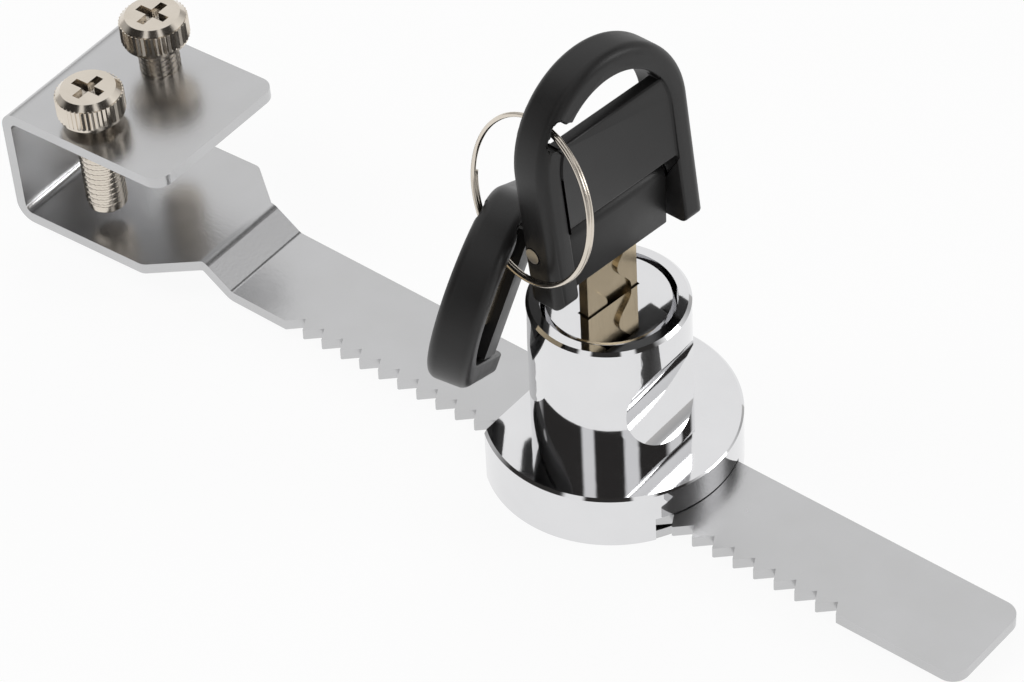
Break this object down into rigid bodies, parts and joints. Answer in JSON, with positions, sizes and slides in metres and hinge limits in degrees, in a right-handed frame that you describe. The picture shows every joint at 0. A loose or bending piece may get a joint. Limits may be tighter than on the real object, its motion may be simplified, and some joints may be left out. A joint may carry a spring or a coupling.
{
  "type": "glass cabinet door lock",
  "caption": "Ratchet lock for sliding glass doors: toothed bar with a screw clamp, sliding round housing with a key plug and pawl, and folding keys on a ring.",
  "frame": {"origin": "where the lock's axis meets the flange's underside", "axes": "+X along the rack bar from the clamp to its tip, +Z along the plug's axis towards the key"},
  "size_m": [0.1421, 0.0397, 0.0633],
  "materials": {
    "zinc_plate": "satin zinc plate",
    "bright_chrome": "bright chrome",
    "nickel_plate": "bright nickel",
    "nickel_silver": "milled",
    "steel": "plain",
    "wafer_brass": "stamped",
    "black_plastic": "satin"
  },
  "bodies": {
    "bar": {"rack_bar": "zinc_plate"},
    "screw_near": {"clamp_screw_near": "nickel_plate"},
    "screw_far": {"clamp_screw_far": "nickel_plate"},
    "lock": {"lock_housing": "bright_chrome", "base_plate": "zinc_plate", "base_plate_rivets": "steel", "pawl_spring": "steel"},
    "plug": {"lock_plug": "bright_chrome", "plug_retaining_clip": "steel", "wafer_springs": "steel"},
    "wafer_a": {"wafer_1": "wafer_brass"},
    "wafer_b": {"wafer_2": "wafer_brass"},
    "wafer_c": {"wafer_3": "wafer_brass"},
    "wafer_d": {"wafer_4": "wafer_brass"},
    "wafer_e": {"wafer_5": "wafer_brass"},
    "pawl": {"ratchet_pawl": "steel"},
    "key": {"key_blade": "nickel_silver", "key_block": "black_plastic", "key_pivot_pin": "steel"},
    "bow": {"key_bow": "black_plastic"},
    "ring": {"key_ring": "nickel_plate"},
    "spare": {"spare_key_bow": "black_plastic"},
    "spare_blade": {"spare_key_blade": "nickel_silver", "spare_key_block": "black_plastic", "spare_key_pivot_pin": "steel"}
  },
  "joints": [
    {"name": "near_screw_travel", "type": "slide", "parent": "bar", "child": "screw_near", "axis": [-0.0698, 0, 0.9976], "range_m": [-0.0009, 0.01]},
    {"name": "far_screw_travel", "type": "slide", "parent": "bar", "child": "screw_far", "axis": [-0.0698, 0, 0.9976], "range_m": [-0.0039, 0.008]},
    {"name": "lock_slide", "type": "slide", "parent": "bar", "child": "lock", "axis": [1, 0, 0], "range_m": [-0.039, 0.072]},
    {"name": "plug_turn", "type": "hinge", "parent": "lock", "child": "plug", "pos_m": [0, 0, 0.0125], "axis": [0, 0, 1], "range_deg": [-90, 0]},
    {"name": "pawl_travel", "type": "slide", "parent": "lock", "child": "pawl", "axis": [0, 1, 0], "range_m": [0, 0.0019]},
    {"name": "wafer_a_lift", "type": "slide", "parent": "plug", "child": "wafer_a", "axis": [0.1201, 0.9928, 0], "range_m": [0, 0.0008]},
    {"name": "wafer_b_lift", "type": "slide", "parent": "plug", "child": "wafer_b", "axis": [0.1201, 0.9928, 0], "range_m": [0, 0.0008]},
    {"name": "wafer_c_lift", "type": "slide", "parent": "plug", "child": "wafer_c", "axis": [0.1201, 0.9928, 0], "range_m": [0, 0.0008]},
    {"name": "wafer_d_lift", "type": "slide", "parent": "plug", "child": "wafer_d", "axis": [0.1201, 0.9928, 0], "range_m": [0, 0.0008]},
    {"name": "wafer_e_lift", "type": "slide", "parent": "plug", "child": "wafer_e", "axis": [0.1201, 0.9928, 0], "range_m": [0, 0.0008]},
    {"name": "key_insert", "type": "slide", "parent": "plug", "child": "key", "axis": [0, 0, 1], "range_m": [0, 0.007]},
    {"name": "bow_fold", "type": "hinge", "parent": "key", "child": "bow", "pos_m": [0, 0, 0.0404], "axis": [0.1201, 0.9928, 0], "range_deg": [0, 97]},
    {"name": "ring_swing", "type": "hinge", "parent": "bow", "child": "ring", "pos_m": [-0.00198, -0.00814, 0.05755], "axis": [-0.9799, 0.1987, -0.0199], "range_deg": [0, 16]},
    {"name": "spare_swing", "type": "hinge", "parent": "ring", "child": "spare", "pos_m": [-0.00604, -0.01209, 0.03871], "axis": [0.905, -0.2716, -0.3273], "range_deg": [-3, 5]},
    {"name": "spare_fold", "type": "hinge", "parent": "spare", "child": "spare_blade", "pos_m": [-0.0121, -0.00425, 0.02458], "axis": [0.0542, -0.6559, -0.7529], "range_deg": [-2, 0]}
  ],
  "couplings": [
    {"joint": "pawl_travel", "follows": "plug_turn", "m_per_rad": -0.0012096}
  ]
}
